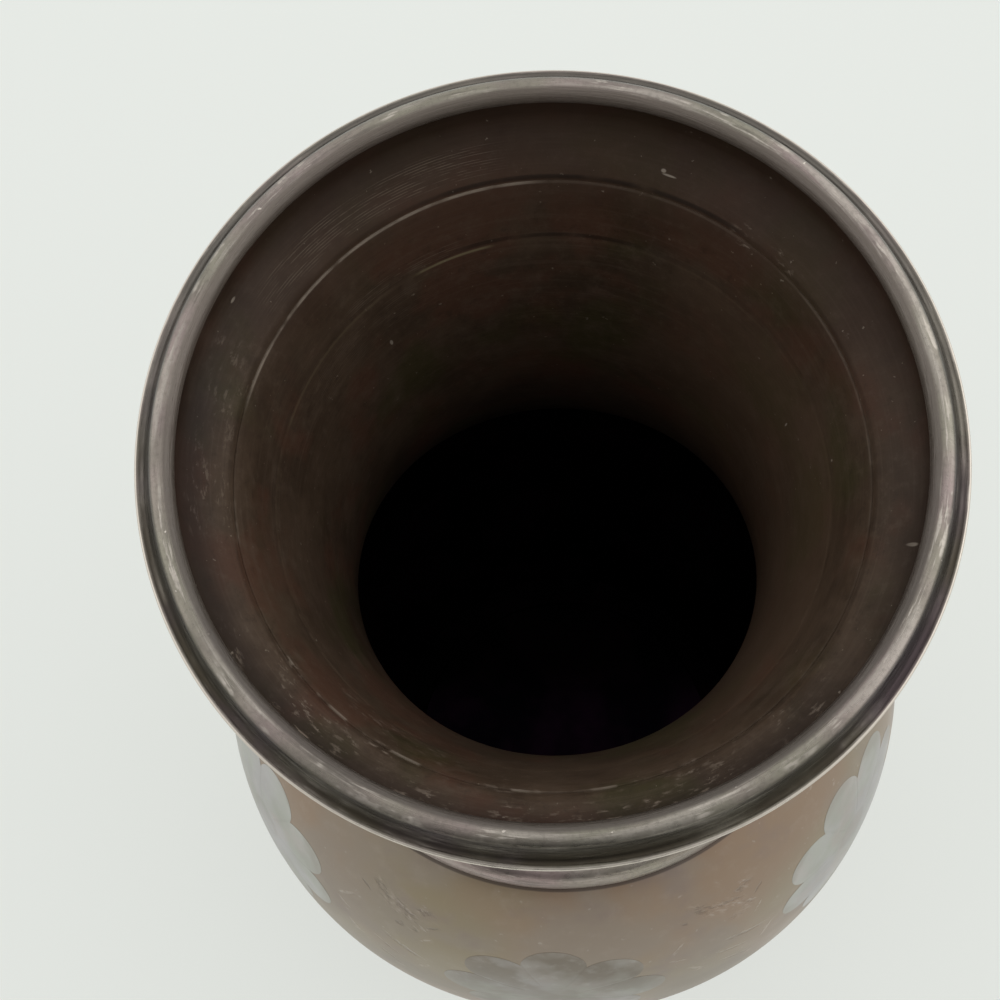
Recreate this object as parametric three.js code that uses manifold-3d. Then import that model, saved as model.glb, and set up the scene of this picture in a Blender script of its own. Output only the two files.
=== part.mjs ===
// A flared-mouth vase of patinated bronze: a turned rim band, a neck and a body soldered together,
// a base plate held by the foot ring, and silver flowers let into the belly.
// Millimetres, +Z up. The origin is the centre of the face that the foot ring stands on.
import * as THREE from 'three';
import { mergeVertices } from 'three/addons/utils/BufferGeometryUtils.js';
import Module from 'manifold-3d';

// Overall form
const height = 270; // foot to the crest of the rim band
const ridgeRise = 3.7; // crest above the lip
const mouthRadius = 60.5; // outermost edge of the lip
const throatRadius = 35; // narrowest place inside the neck
const throatDepth = 67; // lip to the throat
const shoulderRadius = 52.6; // top of the body's outside, just below the collar ring
const collarDepth = 106; // lip to the joint between neck and body
const bellyRadius = 71; // widest place of the body
const bellyDepth = 169; // lip to the belly
const ankleRadius = 43.5; // body just above the foot ring

// Walls
const neckWall = 2.8;
const bodyWall = 3.2;
const plateThickness = 2.6;

// Rim band: a rounded lip, a hollow face that rises inwards and a round ridge over the neck's edge
const lipRound = 0.5; // radius of the lip's edge
const bandWidth = 6.25; // lip's edge to the ridge's inner side
const ridgeRound = 1.9; // radius of the ridge
const ridgeOverhang = 1.35; // the ridge reaches this far inside the neck's wall
const ridgeUnder = 0.6; // underside of the ridge above the lip
const bandSeat = 0.2; // roof of the band's socket below the lip
const skirtLength = 6; // the band's outer side, down from the lip
const skirtSetback = 1; // the lip stands this far out from the skirt
const skirtSheet = 1.1;

// Rings left inside the mouth by the lathe
const ledgeDepth = 12.8; // sharp ledge below the lip
const ledgeRadius = 48;
const ledgeStep = 0.5;
const grooveDepth = 24.3; // second ring below the lip
const grooveRadius = 43.1;
const grooveStep = 0.3;

// Joints
const seatGap = 0.3; // gap between pieces that touch
const solderThickness = 0.5;
const collarWidth = 4.5; // the collar ring's foot, from the neck outwards
const tongueStep = 2; // the neck's shoulder outside the tongue that enters the body's opening
const tongueWall = 2.6;
const tongueLength = 3;
const flangeDepth = 4; // the body's inner flange that holds the tongue
const plateRadius = 38.6; // the base plate's edge
const plateRebate = 2.4; // width of the body's ledge above the base plate

// Collar ring that covers the joint
const collarHeight = 5;
const collarTopWidth = 0.6; // width of its upper edge
const collarEdge = 0.7; // radius of its rounded lower edge
const collarGroove = 0.8; // the ring's edge stands this far inside the shoulder, over its chamfer

// Foot ring
const footProud = 3.5; // the standing face reaches this far beyond the body above it
const footWall = 4.2;
const footFlange = 3; // thickness of the flange that carries the body and the base plate
const flangeReach = 10.2; // standing face's outer edge to the flange's inner edge
const solderInset = 1; // the foot's solder stays this far inside its neighbours
const footHeight = 10;
const footFlare = 1.6; // the ring is this much narrower at its top
const footEdge = 0.9; // chamfer at the standing face

// Silver flowers let into the belly
const flowerCount = 6;
const flowerTurn = 266; // degrees from +X to the front flower
const flowerRadius = 22;
const flowerDepth = 143.5; // lip to the flowers' middle
const flowerTilt = 12; // degrees that the belly leans back at the flowers' middle
const flowerSheet = 0.9; // thickness of the silver
const flowerProud = 0.2; // it stands this far out of the bronze
const petalCount = 8;
const petalRound = 6.4; // radius of a petal's tip
const petalSteps = 6; // straight edges round one petal

// Fineness of the round forms
const roundSteps = 36;
const bodySteps = 6;
const neckSteps = 5;
const shortSteps = 3;

const lipZ = height - ridgeRise;
const throatZ = lipZ - throatDepth;
const collarZ = lipZ - collarDepth;
const collarTop = collarZ + collarHeight;
const bellyZ = lipZ - bellyDepth;
const collarRadius = shoulderRadius - collarGroove;
const neckFootRadius = collarRadius - collarWidth - seatGap;
const tongueRadius = neckFootRadius - tongueStep;
const flowerZ = lipZ - flowerDepth;
const petalReach = flowerRadius - petalRound;
const jointGap = 2 * seatGap + solderThickness;
const bandInner = mouthRadius - bandWidth;
const neckMouth = bandInner + ridgeOverhang;
const socketRoof = lipZ - bandSeat;
const socketOuter = mouthRadius - skirtSetback - skirtSheet;
const neckTop = socketRoof - jointGap;
const neckTopOuter = socketOuter - jointGap;
const skirtBottom = lipZ - skirtLength;
const footRadius = ankleRadius + footProud;
const footInner = footRadius - flangeReach;
const bodyBottom = footHeight + jointGap;
const rebateRadius = plateRadius + seatGap;
const rebateTop = bodyBottom + plateThickness + seatGap;
const bodyFloorRadius = rebateRadius - plateRebate;
const recessDepth = flowerSheet - flowerProud + seatGap;

const at = (r, z) => new THREE.Vector2(r, z);

// A smooth stretch from a to b that leaves along slope out and arrives along slope into.
function stretch(a, b, out, into, steps) {
  const leave = at(a[0] + out[0], a[1] + out[1]);
  const arrive = at(b[0] - into[0], b[1] - into[1]);
  return new THREE.CubicBezierCurve(at(...a), leave, arrive, at(...b)).getPoints(steps);
}

// An arc between two angles in degrees.
function arc(cx, cz, radiusX, radiusZ, from, to, steps) {
  const [a, b] = [from, to].map(THREE.MathUtils.degToRad);
  return new THREE.EllipseCurve(cx, cz, radiusX, radiusZ, a, b, to < from).getPoints(steps);
}

// Joins stretches into one outline and drops points that repeat.
function outline(...parts) {
  const points = parts.flat();
  return points.filter((p, i) => i === 0 || p.distanceTo(points[i - 1]) > 1e-4);
}

// The same line moved sideways by a distance, to its left as it runs.
function offset(line, distance) {
  return line.map((p, i) => {
    const before = line[Math.max(i - 1, 0)];
    const after = line[Math.min(i + 1, line.length - 1)];
    const run = after.clone().sub(before).normalize();
    return at(p.x - run.y * distance, p.y + run.x * distance);
  });
}

// Turns a closed outline of radius and height into a solid of revolution.
function turned(points) {
  const closed = [...points];
  const first = points[0];
  const last = points[points.length - 1];
  if (first.x > 0 || last.x > 0) closed.push(first.clone());
  return new THREE.LatheGeometry(closed, roundSteps).rotateX(Math.PI / 2);
}

// The turned band that caps the neck's edge.
function rimBand() {
  const skirtOuter = mouthRadius - skirtSetback;
  const lip = arc(mouthRadius - lipRound, lipZ - lipRound, lipRound, lipRound, -80, 120, 5);
  const ridgeX = bandInner + ridgeRound;
  const ridge = arc(ridgeX, height - ridgeRound, ridgeRound, ridgeRound, 30, 210, 6);
  const lipEnd = lip[lip.length - 1];
  const face = stretch([lipEnd.x, lipEnd.y], [ridge[0].x, ridge[0].y], [-0.9, -0.2], [-0.3, 0.9], 3);
  const side = stretch([skirtOuter, skirtBottom], [lip[0].x, lip[0].y], [0, 3], [0.4, 0.8], 2);
  return outline(side, lip, face, ridge, [
    at(neckMouth, lipZ + ridgeUnder),
    at(neckMouth, socketRoof),
    at(socketOuter, socketRoof),
    at(socketOuter, skirtBottom),
  ]);
}

// Solder between the band's socket and the neck's edge.
function rimSolder() {
  const top = socketRoof - seatGap;
  const outer = socketOuter - seatGap;
  return outline([
    at(outer, skirtBottom),
    at(outer, top),
    at(neckMouth, top),
    at(neckMouth, top - solderThickness),
    at(outer - solderThickness, top - solderThickness),
    at(outer - solderThickness, skirtBottom),
  ]);
}

// The inside of the neck from its foot up to the mouth.
function neckInside() {
  const tongueInner = tongueRadius - tongueWall;
  const ledgeZ = lipZ - ledgeDepth;
  const grooveZ = lipZ - grooveDepth;
  const tongueZ = collarZ - tongueLength;
  return outline(
    stretch([tongueInner, tongueZ], [throatRadius, throatZ], [-3, 10], [0, 18], neckSteps),
    stretch([throatRadius, throatZ], [grooveRadius - grooveStep, grooveZ], [0, 18], [3, 8], neckSteps),
    stretch([grooveRadius, grooveZ], [ledgeRadius - ledgeStep, ledgeZ], [1.4, 4], [2, 3], shortSteps),
    stretch([ledgeRadius, ledgeZ], [neckMouth, lipZ - ledgeDepth / 2], [0.5, 2], [2, 1.2], shortSteps + 1),
  );
}

// The upper section: flared mouth, throat and the foot of the neck with its tongue.
function neckSection() {
  const throatOuter = throatRadius + neckWall;
  const flareStart = skirtBottom - seatGap;
  const outside = outline(
    [at(neckTopOuter, neckTop)],
    stretch([neckTopOuter, flareStart], [throatOuter, throatZ], [-12, -11], [0, -24], neckSteps),
    stretch([throatOuter, throatZ], [neckFootRadius, collarTop], [0, -16], [4, -10], neckSteps),
    [at(neckFootRadius, collarZ), at(tongueRadius, collarZ), at(tongueRadius, collarZ - tongueLength)],
  );
  return outline(outside, neckInside(), [at(neckMouth, neckTop)]).reverse();
}

// Solder between the neck's foot and the body's top edge.
function neckSolder() {
  const top = collarZ - seatGap;
  const inner = tongueRadius + seatGap;
  return outline([
    at(inner, top - solderThickness),
    at(neckFootRadius, top - solderThickness),
    at(neckFootRadius, top),
    at(inner, top),
  ]);
}

// The half-round ring around the foot of the neck.
function collarRing() {
  const inner = neckFootRadius + seatGap;
  const bottom = collarZ - jointGap + seatGap;
  const edgeX = collarRadius - collarEdge;
  const edgeZ = bottom + collarEdge;
  const topX = inner + collarTopWidth;
  return outline(
    [at(inner, bottom)],
    arc(edgeX, edgeZ, collarEdge, collarEdge, -90, 0, 2),
    arc(topX, edgeZ, collarRadius - topX, collarTop - edgeZ, 0, 90, 5),
    [at(inner, collarTop)],
  );
}

// The outside of the body from the collar ring down to the foot.
function bodyOutside() {
  const top = collarZ - jointGap;
  return outline(
    stretch([shoulderRadius, top - collarGroove], [bellyRadius, bellyZ], [12, -13.5], [0, -26], bodySteps),
    stretch([bellyRadius, bellyZ], [ankleRadius, bodyBottom], [0, -34], [-6, -30], bodySteps),
  );
}

// The lower section: shoulder, belly and taper, open at the bottom where the base plate goes in.
function bodySection() {
  const top = collarZ - jointGap;
  const outside = bodyOutside();
  const opening = tongueRadius + seatGap;
  const inside = offset(outside, -bodyWall).filter(
    (p) => p.y < top - flangeDepth - 1 && p.y > rebateTop + plateRebate,
  );
  return outline(
    [at(rebateRadius, bodyBottom)],
    [...outside].reverse(),
    [at(collarRadius, top), at(opening, top), at(opening, top - flangeDepth)],
    inside,
    [
      at(bodyFloorRadius, rebateTop + plateRebate),
      at(bodyFloorRadius, rebateTop),
      at(rebateRadius, rebateTop),
    ],
  );
}

// The disc that closes the body from below.
function basePlate() {
  return outline([
    at(0, bodyBottom),
    at(plateRadius, bodyBottom),
    at(plateRadius, bodyBottom + plateThickness),
    at(0, bodyBottom + plateThickness),
  ]);
}

// Solder between the foot ring and the body with its base plate.
function footSolder() {
  const bottom = footHeight + seatGap;
  const inner = footInner + solderInset;
  const outer = ankleRadius - solderInset;
  return outline([
    at(inner, bottom),
    at(outer, bottom),
    at(outer, bottom + solderThickness),
    at(inner, bottom + solderThickness),
  ]);
}

// The ring that the vase stands on, with the flange that carries the body.
function footRing() {
  const innerWall = footRadius - footWall;
  return outline(
    [at(innerWall, footEdge), at(innerWall + footEdge, 0), at(footRadius - footEdge, 0)],
    stretch([footRadius, footEdge], [footRadius - footFlare, footHeight], [0, 3], [0.6, 3], shortSteps),
    [
      at(footInner, footHeight),
      at(footInner, footHeight - footFlange),
      at(innerWall, footHeight - footFlange),
    ],
  );
}

// Outline of a flower of round petals about the origin, wider by a margin.
function flowerOutline(margin) {
  const half = 180 / petalCount;
  const radius = petalRound + margin;
  const nearness = (petalReach * Math.sin(THREE.MathUtils.degToRad(half))) / radius;
  const sweep = 90 + half - THREE.MathUtils.radToDeg(Math.acos(nearness));
  const petals = [];
  for (let i = 0; i < petalCount; i += 1) {
    const turn = 2 * half * i;
    const centre = at(petalReach, 0).rotateAround(at(0, 0), THREE.MathUtils.degToRad(turn));
    petals.push(arc(centre.x, centre.y, radius, radius, turn - sweep, turn + sweep, petalSteps));
  }
  return outline(...petals).slice(0, -1);
}

// The layer of the body from a depth under its outer surface to a height above it.
function surfaceLayer(above, under) {
  const line = bodyOutside();
  return turned(outline(offset(line, -under), offset(line, above).reverse()));
}

// A straight prism of the flower's outline, wider by a margin, that points out through the belly.
function flowerPrism(turn, margin) {
  const shape = new THREE.Shape(flowerOutline(margin));
  const prism = new THREE.ExtrudeGeometry(shape, { depth: bellyRadius / 2, bevelEnabled: false });
  prism.translate(0, 0, -bellyRadius / 4);
  prism.rotateX(THREE.MathUtils.degToRad(90 - flowerTilt));
  prism.translate(0, -flowerSeat(), flowerZ);
  return prism.rotateZ(turn + Math.PI / 2);
}

// Radius of the belly at the flowers' middle.
function flowerSeat() {
  const line = bodyOutside();
  const i = line.findIndex((p) => p.y < flowerZ);
  const share = (line[i - 1].y - flowerZ) / (line[i - 1].y - line[i].y);
  return line[i - 1].clone().lerp(line[i], share).x;
}

const wasm = await Module();
wasm.setup();

function solid(geometry) {
  const bare = geometry.clone();
  bare.deleteAttribute('normal');
  bare.deleteAttribute('uv');
  const merged = mergeVertices(bare, 1e-4);
  return new wasm.Manifold(new wasm.Mesh({
    numProp: 3,
    vertProperties: Float32Array.from(merged.attributes.position.array),
    triVerts: Uint32Array.from(merged.index.array),
  }));
}

function geometryOf(body) {
  const mesh = body.getMesh();
  const geometry = new THREE.BufferGeometry();
  geometry.setAttribute('position', new THREE.BufferAttribute(mesh.vertProperties, 3));
  geometry.setIndex(new THREE.BufferAttribute(mesh.triVerts, 1));
  return geometry;
}

// The body with a recess for each flower, and the flowers that lie in them.
function bodyWithFlowers() {
  const recessLayer = solid(surfaceLayer(1, recessDepth));
  const silverLayer = solid(surfaceLayer(flowerProud, flowerSheet - flowerProud));
  let body = solid(turned(bodySection()));
  const flowers = [];
  for (let i = 0; i < flowerCount; i += 1) {
    const turn = THREE.MathUtils.degToRad(flowerTurn + (360 * i) / flowerCount);
    body = body.subtract(recessLayer.intersect(solid(flowerPrism(turn, seatGap))));
    flowers.push(geometryOf(silverLayer.intersect(solid(flowerPrism(turn, 0)))));
  }
  return { body: geometryOf(body), flowers };
}

const bronze = { color: 0x6b4f3e, roughness: 0.5, metalness: 0.5 };
const wornBronze = { color: 0x5d5856, roughness: 0.35, metalness: 0.9 };
const silver = { color: 0x9a9da0, roughness: 0.4, metalness: 0.8 };
const solder = { color: 0x8a8a88, roughness: 0.6, metalness: 0.8 };

const { body, flowers } = bodyWithFlowers();
const pieces = [
  ['rim_band', turned(rimBand()), wornBronze],
  ['rim_solder', turned(rimSolder()), solder],
  ['neck_section', turned(neckSection()), bronze],
  ['neck_joint_solder', turned(neckSolder()), solder],
  ['collar_ring', turned(collarRing()), wornBronze],
  ['body_section', body, bronze],
  ['base_plate', turned(basePlate()), bronze],
  ['foot_joint_solder', turned(footSolder()), solder],
  ['foot_ring', turned(footRing()), bronze],
  ...flowers.map((flower, i) => [`silver_flower_${i + 1}`, flower, silver]),
];

const vase = new THREE.Group();
for (const [name, geometry, finish] of pieces) {
  const mesh = new THREE.Mesh(geometry, new THREE.MeshStandardMaterial(finish));
  mesh.name = name;
  vase.add(mesh);
}

export default vase;
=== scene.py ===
"""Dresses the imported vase: turned surfaces, patinated bronze, silver flowers and faint engraved sprays.

Metres, +Z up, the same frame as the solids. Outlines are in millimetres, as (radius, height). Heights and
radii inside the materials are in metres.
"""

import math

import bmesh
import bpy
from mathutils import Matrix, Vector


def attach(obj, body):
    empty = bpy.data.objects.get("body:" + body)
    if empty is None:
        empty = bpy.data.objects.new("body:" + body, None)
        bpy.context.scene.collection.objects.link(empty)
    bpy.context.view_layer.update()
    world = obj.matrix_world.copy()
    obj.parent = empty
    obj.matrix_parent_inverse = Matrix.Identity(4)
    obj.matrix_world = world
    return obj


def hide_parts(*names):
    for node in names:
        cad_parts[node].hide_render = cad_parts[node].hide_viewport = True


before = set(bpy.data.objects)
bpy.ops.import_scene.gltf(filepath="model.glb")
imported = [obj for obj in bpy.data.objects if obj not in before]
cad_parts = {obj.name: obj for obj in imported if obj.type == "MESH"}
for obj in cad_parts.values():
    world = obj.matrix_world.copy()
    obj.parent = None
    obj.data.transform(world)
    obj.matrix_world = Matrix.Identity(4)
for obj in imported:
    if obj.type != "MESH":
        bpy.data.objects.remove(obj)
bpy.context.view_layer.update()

MM = 0.001
SEGMENTS = 288

# The part's sizes in millimetres
CREST = 270.0
LIP = 266.3
LIP_ROUND = 0.5
MOUTH = 60.5
BAND_INNER = 54.25
RIDGE_ROUND = 1.9
NECK_MOUTH = 55.6
SOCKET_ROOF = 266.1
SOCKET_OUTER = 58.4
SKIRT_OUTER = 59.5
SKIRT_BOTTOM = 260.3
NECK_TOP = 265.0
NECK_TOP_OUTER = 57.3
MOUTH_START = 261.7
LEDGE = (48.0, 253.5)
GROOVE = (43.1, 242.0)
THROAT = (35.0, 199.3)
THROAT_OUTER = 37.8
NECK_FOOT = 47.0
TONGUE_INNER = 42.4
TONGUE_OUTER = 45.0
TONGUE_TOP = 160.3
TONGUE_BOTTOM = 157.3
COLLAR_BOTTOM = 159.5
COLLAR_TOP = 165.3
COLLAR_OUTER = 51.8
COLLAR_ROUND = 0.7
COLLAR_GAP = 0.3
COLLAR_FLAT = 0.6
BODY_TOP = 159.2
BODY_SOCKET = (45.3, 155.2)
SHOULDER = (52.6, 158.4)
BELLY = (71.0, 97.3)
ANKLE = (43.5, 11.1)
BODY_WALL = 3.2
INSIDE_BOTTOM = 17.5
INSIDE_TOP = 154
REBATE = (38.9, 14.0)
REBATE_EDGE = (36.5, 16.4)
PLATE_EDGE = 38.6
PLATE_TOP = 13.7
PLATE_BEVEL = 0.2
FOOT_INNER = 42.8
FOOT_OUTER = 47
FOOT_WAIST = 45.4
FOOT_TOP = 10
FOOT_ROUND = 0.9
FLANGE_INNER = 36.8
FLANGE_BOTTOM = 7
FLOWERS = 6
FLOWER_TURN = 266.0
FLOWER_HEIGHT = 122.8
FLOWER_RADIUS = 22.0
FLOWER_PROUD = 0.03
FLOWER_UNDER = 0.7
FLOWER_RINGS = 11
PETALS = 8
PETAL_ROUND = 6.4

# The belly's radius at the flowers, and the millimetres along its surface in a metre of height there
FLOWER_BELLY = 69.5
SURFACE_IN_HEIGHT = 1040

# The floor in metres, its even tone, and that tone's share in what the camera sees of it
FLOOR_HALF = 3.0
FLOOR_LEVEL = -0.0002
BACKDROP_TONE = (0.785, 0.810, 0.770)
BACKDROP_SHARE = 0.6

# The camera that took the photo
CAMERA_BACK = 0.0949
CAMERA_ABOVE_LIP = 0.3035
CAMERA_ANGLES = (16.02, 2.14, -2.49)
FOCAL_PIXELS = 2200
PHOTO_WIDTH = 1000
SENSOR = 36


# Outlines


def stretch(start, end, leave, arrive, steps):
    """Points of a cubic curve from start to end with the given end tangents."""
    first = (start[0] + leave[0], start[1] + leave[1])
    second = (end[0] - arrive[0], end[1] - arrive[1])
    points = []
    for i in range(steps + 1):
        t = i / steps
        s = 1 - t
        weights = (s**3, 3 * s * s * t, 3 * s * t * t, t**3)
        corners = (start, first, second, end)
        points.append(tuple(sum(w * c[k] for w, c in zip(weights, corners)) for k in (0, 1)))
    return points


def arc(centre, radius, begin, end, steps):
    points = []
    for i in range(steps + 1):
        a = math.radians(begin + (end - begin) * i / steps)
        points.append((centre[0] + radius * math.cos(a), centre[1] + radius * math.sin(a)))
    return points


def joined(*parts):
    """One outline from several, without repeated points."""
    outline = []
    for part in parts:
        for point in part:
            if not outline or math.dist(outline[-1], point) > 1e-3:
                outline.append(point)
    if math.dist(outline[0], outline[-1]) < 1e-3:
        outline.pop()
    return outline


def rim_outline():
    lip = arc((MOUTH - LIP_ROUND, LIP - LIP_ROUND), LIP_ROUND, -80, 120, 14)
    ridge = arc((BAND_INNER + RIDGE_ROUND, CREST - RIDGE_ROUND), RIDGE_ROUND, 30, 210, 24)
    face = stretch(lip[-1], ridge[0], (-0.9, -0.2), (-0.3, 0.9), 14)
    side = stretch((SKIRT_OUTER, SKIRT_BOTTOM), lip[0], (0, 3), (0.4, 0.8), 8)
    inside = [
        (NECK_MOUTH, LIP + 0.6),
        (NECK_MOUTH, SOCKET_ROOF),
        (SOCKET_OUTER, SOCKET_ROOF),
        (SOCKET_OUTER, SKIRT_BOTTOM),
    ]
    return joined(side, lip, face, ridge, inside)


def neck_outline():
    """Outside downwards, then the inside upwards with its two rings, each a fine step."""
    outside = joined(
        [(NECK_TOP_OUTER, NECK_TOP)],
        stretch((NECK_TOP_OUTER, SKIRT_BOTTOM - 0.3), (THROAT_OUTER, THROAT[1]), (-12, -11), (0, -24), 30),
        stretch((THROAT_OUTER, THROAT[1]), (NECK_FOOT, COLLAR_TOP), (0, -16), (4, -10), 20),
        [(NECK_FOOT, TONGUE_TOP), (TONGUE_OUTER, TONGUE_TOP)],
        [(TONGUE_OUTER, TONGUE_BOTTOM), (TONGUE_INNER, TONGUE_BOTTOM)],
    )
    ledge_r, ledge_z = LEDGE
    groove_r, groove_z = GROOVE
    inside = joined(
        stretch((TONGUE_INNER, TONGUE_BOTTOM), THROAT, (-3, 10), (0, 18), 20),
        stretch(THROAT, (groove_r - 0.08, groove_z), (0, 18), (3, 8), 26),
        [(groove_r + 0.02, groove_z + 0.2), (groove_r + 0.06, groove_z + 0.36)],
        stretch((groove_r + 0.06, groove_z + 0.36), (ledge_r - 0.36, ledge_z - 0.2), (1.4, 4), (2, 3), 14),
        [(ledge_r - 0.22, ledge_z), (ledge_r - 0.1, ledge_z - 0.02)],
        [(ledge_r + 0.02, ledge_z - 0.1), (ledge_r + 0.12, ledge_z + 0.1)],
        stretch((ledge_r + 0.12, ledge_z + 0.1), (NECK_MOUTH, MOUTH_START), (0.7, 2), (0.8, 3.4), 20),
        [(NECK_MOUTH, NECK_TOP)],
    )
    return list(reversed(joined(outside, inside)))


def collar_outline():
    inner = NECK_FOOT + COLLAR_GAP
    edge_z = COLLAR_BOTTOM + COLLAR_ROUND
    top = inner + COLLAR_FLAT
    crown = []
    for i in range(15):
        a = math.radians(90 * i / 14)
        r = top + (COLLAR_OUTER - top) * math.cos(a)
        z = edge_z + (COLLAR_TOP - edge_z) * math.sin(a)
        crown.append((r, z))
    edge = arc((COLLAR_OUTER - COLLAR_ROUND, edge_z), COLLAR_ROUND, -90, 0, 7)
    return joined([(inner, COLLAR_BOTTOM)], edge, crown, [(inner, COLLAR_TOP)])


def body_outside():
    shoulder = stretch(SHOULDER, BELLY, (12, -13.5), (0, -26), 34)
    taper = stretch(BELLY, ANKLE, (0, -34), (-6, -30), 36)
    return joined(shoulder, taper)


def body_outline():
    outside = body_outside()
    inside = []
    for i, (r, z) in enumerate(outside):
        before = outside[max(i - 1, 0)]
        after = outside[min(i + 1, len(outside) - 1)]
        run = Vector((after[0] - before[0], after[1] - before[1])).normalized()
        inside.append((r + run.y * BODY_WALL, z - run.x * BODY_WALL))
    inside = [p for p in inside if INSIDE_BOTTOM < p[1] < INSIDE_TOP]
    return joined(
        [(REBATE[0], ANKLE[1])],
        list(reversed(outside)),
        [(COLLAR_OUTER, BODY_TOP), (BODY_SOCKET[0], BODY_TOP), BODY_SOCKET],
        inside,
        [REBATE_EDGE, (REBATE_EDGE[0], REBATE[1]), REBATE],
    )


def plate_outline():
    bottom = ANKLE[1]
    bevel = [(PLATE_EDGE, PLATE_TOP - PLATE_BEVEL), (PLATE_EDGE - PLATE_BEVEL, PLATE_TOP)]
    return [(0, bottom), (PLATE_EDGE, bottom), *bevel, (0, PLATE_TOP)]


def foot_outline():
    return joined(
        [(FOOT_INNER, FOOT_ROUND)],
        arc((FOOT_INNER + FOOT_ROUND, FOOT_ROUND), FOOT_ROUND, 180, 270, 5),
        arc((FOOT_OUTER - FOOT_ROUND, FOOT_ROUND), FOOT_ROUND, 270, 345, 5),
        stretch((FOOT_OUTER, FOOT_ROUND + 0.3), (FOOT_WAIST, FOOT_TOP), (0, 3), (0.6, 3), 10),
        [(FLANGE_INNER, FOOT_TOP), (FLANGE_INNER, FLANGE_BOTTOM), (FOOT_INNER, FLANGE_BOTTOM)],
    )


# Pieces


def finish_piece(name, bm, sharp):
    mesh = bpy.data.meshes.new(name)
    bmesh.ops.recalc_face_normals(bm, faces=bm.faces)
    bm.to_mesh(mesh)
    bm.free()
    for polygon in mesh.polygons:
        polygon.use_smooth = True
    mesh.set_sharp_from_angle(angle=math.radians(sharp))
    piece = bpy.data.objects.new(name, mesh)
    bpy.context.scene.collection.objects.link(piece)
    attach(piece, "root")
    return piece


def turned(name, outline, sharp=35):
    """A solid of revolution from a closed outline in millimetres."""
    bm = bmesh.new()
    rings = []
    for r, z in outline:
        if r < 1e-6:
            rings.append([bm.verts.new((0, 0, z * MM))])
            continue
        ring = []
        for k in range(SEGMENTS):
            a = 2 * math.pi * k / SEGMENTS
            ring.append(bm.verts.new((r * MM * math.cos(a), r * MM * math.sin(a), z * MM)))
        rings.append(ring)
    on_axis = len(rings[0]) == 1 and len(rings[-1]) == 1
    count = len(rings) - 1 if on_axis else len(rings)
    for i in range(count):
        low, high = rings[i], rings[(i + 1) % len(rings)]
        for k in range(SEGMENTS):
            n = (k + 1) % SEGMENTS
            if len(low) == 1:
                bm.faces.new((low[0], high[n], high[k]))
            elif len(high) == 1:
                bm.faces.new((low[k], low[n], high[0]))
            else:
                bm.faces.new((low[k], low[n], high[n], high[k]))
    return finish_piece(name, bm, sharp)


def petal_edge(steps):
    """Outline of a flower of round petals about the origin."""
    half = 180 / PETALS
    reach = FLOWER_RADIUS - PETAL_ROUND
    sweep = 90 + half - math.degrees(math.acos(reach * math.sin(math.radians(half)) / PETAL_ROUND))
    petals = []
    for i in range(PETALS):
        turn = 2 * half * i
        centre = (reach * math.cos(math.radians(turn)), reach * math.sin(math.radians(turn)))
        petals.append(arc(centre, PETAL_ROUND, turn - sweep, turn + sweep, steps))
    return joined(*petals)


class Belly:
    """The body's outer surface, met by going along and up it from the flowers' middle."""

    def __init__(self):
        self.line = body_outside()
        self.path = [0.0]
        for a, b in zip(self.line, self.line[1:]):
            self.path.append(self.path[-1] + math.dist(a, b))
        i = next(i for i, p in enumerate(self.line) if p[1] < FLOWER_HEIGHT)
        a, b = self.line[i - 1], self.line[i]
        run = self.path[i] - self.path[i - 1]
        self.middle = self.path[i - 1] + run * (a[1] - FLOWER_HEIGHT) / (a[1] - b[1])

    def place(self, along, up, turn, rise):
        """Point in metres, rise millimetres out from the surface."""
        want = self.middle - up
        i = next(i for i, s in enumerate(self.path) if s > want)
        share = (want - self.path[i - 1]) / (self.path[i] - self.path[i - 1])
        a, b = self.line[i - 1], self.line[i]
        slope = Vector((b[0] - a[0], b[1] - a[1])).normalized()
        r = a[0] + (b[0] - a[0]) * share
        z = a[1] + (b[1] - a[1]) * share
        angle = math.radians(turn) + math.asin(along / r)
        r -= slope.y * rise
        z += slope.x * rise
        return (r * MM * math.cos(angle), r * MM * math.sin(angle), z * MM)


def flower(name, turn):
    """A thin plate of round petals that follows the belly and stands a little proud of it."""
    belly = Belly()
    edge = petal_edge(18)
    bm = bmesh.new()
    rings = []
    layers = [(layer / FLOWER_RINGS, FLOWER_PROUD) for layer in range(1, FLOWER_RINGS + 1)]
    layers += [(share, -FLOWER_UNDER) for share in (1.0, 0.7, 0.4)]
    for share, rise in layers:
        rings.append([bm.verts.new(belly.place(x * share, y * share, turn, rise)) for x, y in edge])
    top = bm.verts.new(belly.place(0, 0, turn, FLOWER_PROUD))
    bottom = bm.verts.new(belly.place(0, 0, turn, -FLOWER_UNDER))
    count = len(edge)
    for inner, outer in zip(rings, rings[1:]):
        for k in range(count):
            n = (k + 1) % count
            bm.faces.new((inner[k], outer[k], outer[n], inner[n]))
    for k in range(count):
        n = (k + 1) % count
        bm.faces.new((top, rings[0][k], rings[0][n]))
        bm.faces.new((bottom, rings[-1][n], rings[-1][k]))
    return finish_piece(name, bm, 50)


# Materials


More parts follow.
